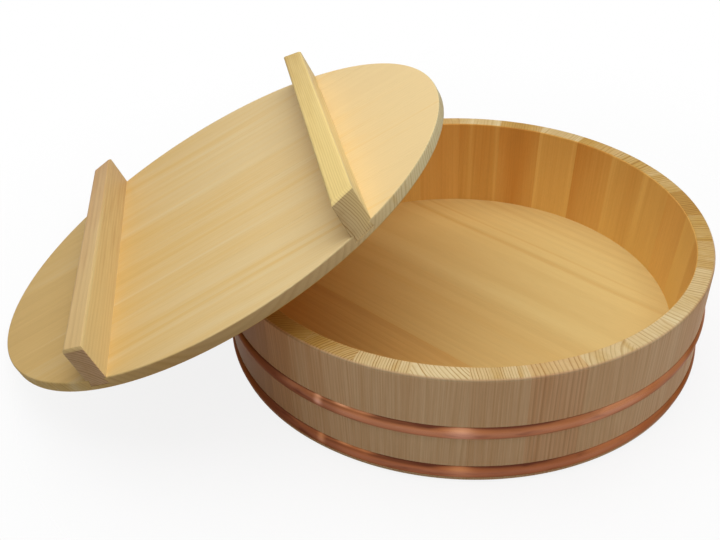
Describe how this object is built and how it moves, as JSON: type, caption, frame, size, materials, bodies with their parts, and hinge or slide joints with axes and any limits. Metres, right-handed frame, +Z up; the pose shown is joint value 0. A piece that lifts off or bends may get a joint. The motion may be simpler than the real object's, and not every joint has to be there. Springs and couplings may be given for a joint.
{
  "type": "sushi rice tub",
  "caption": "Round coopered wooden tub for dressing rice, held by two copper hoops, with a round board lid on two cleats that leans on the rim and lifts off.",
  "frame": {"origin": "centre of the foot ring, in the plane that the tub stands on", "axes": "+Z up out of the tub's mouth, -X towards the side where the lid leans on the rim"},
  "size_m": [0.5343, 0.3778, 0.182],
  "materials": {
    "stave_wood": "planed, unfinished",
    "bottom_wood": "planed, unfinished",
    "lid_wood": "planed, unfinished",
    "cleat_wood": "planed, unfinished",
    "bamboo": "split and turned",
    "copper": "satin copper"
  },
  "bodies": {
    "tub": {"stave_01": "stave_wood", "stave_02": "stave_wood", "stave_03": "stave_wood", "stave_04": "stave_wood", "stave_05": "stave_wood", "stave_06": "stave_wood", "stave_07": "stave_wood", "stave_08": "stave_wood", "stave_09": "stave_wood", "stave_10": "stave_wood", "stave_11": "stave_wood", "stave_12": "stave_wood", "stave_13": "stave_wood", "stave_14": "stave_wood", "stave_15": "stave_wood", "stave_16": "stave_wood", "stave_17": "stave_wood", "stave_18": "stave_wood", "stave_19": "stave_wood", "stave_20": "stave_wood", "stave_21": "stave_wood", "stave_22": "stave_wood", "stave_23": "stave_wood", "stave_24": "stave_wood", "stave_25": "stave_wood", "stave_26": "stave_wood", "stave_27": "stave_wood", "stave_28": "stave_wood", "stave_29": "stave_wood", "stave_30": "stave_wood", "stave_pins": "bamboo", "upper_hoop": "copper", "lower_hoop": "copper", "bottom_board_1": "bottom_wood", "bottom_board_2": "bottom_wood", "bottom_board_3": "bottom_wood", "bottom_board_4": "bottom_wood", "bottom_pins": "bamboo"},
    "lid": {"lid_board_1": "lid_wood", "lid_board_2": "lid_wood", "lid_board_3": "lid_wood", "lid_board_4": "lid_wood", "lid_board_5": "lid_wood", "lid_pins": "bamboo", "lower_cleat": "cleat_wood", "upper_cleat": "cleat_wood"}
  },
  "joints": [
    {"name": "lid_lift", "type": "slide", "parent": "tub", "child": "lid", "axis": [0, 0, 1], "range_m": [0, 0.15]}
  ]
}
